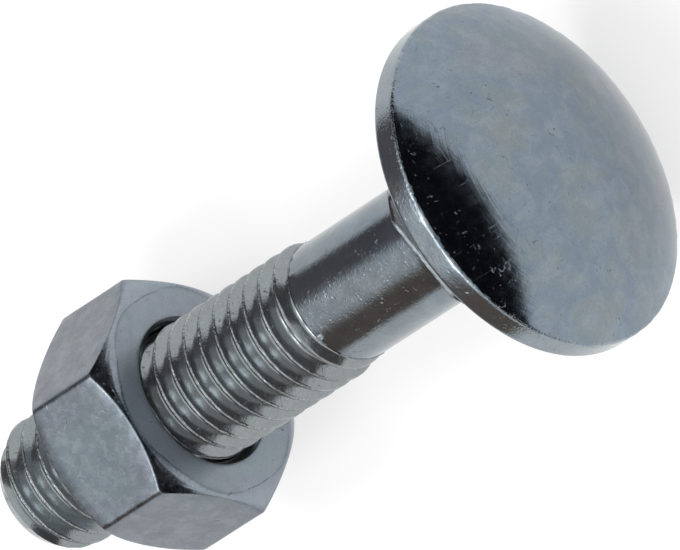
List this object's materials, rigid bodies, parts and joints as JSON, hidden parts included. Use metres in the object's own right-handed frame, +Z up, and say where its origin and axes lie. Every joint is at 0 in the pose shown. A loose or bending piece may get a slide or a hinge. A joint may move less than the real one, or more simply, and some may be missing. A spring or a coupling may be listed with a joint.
{
  "type": "carriage bolt with hex nut",
  "caption": "Cup head carriage bolt with a square neck, a plain shank and a rolled thread, lying on its side with a hex nut run onto the thread.",
  "frame": {"origin": "on the surface that the bolt lies on, under the middle of its bounding box", "axes": "+Z up, +X towards the head along the bolt, whose axis rises 6.2 degrees towards the head, and +Y across it"},
  "size_m": [0.0444, 0.02, 0.02],
  "materials": {
    "bolt_plating": "clear blue zinc plate, satin",
    "nut_plating": "clear blue zinc plate, satin"
  },
  "bodies": {
    "bolt": {"bolt": "bolt_plating"},
    "nut": {"nut": "nut_plating"}
  },
  "joints": [
    {"name": "nut_travel", "type": "slide", "parent": "bolt", "child": "nut", "axis": [-0.9941, 0, -0.1085], "range_m": [-0.01025, 0.0135]}
  ]
}
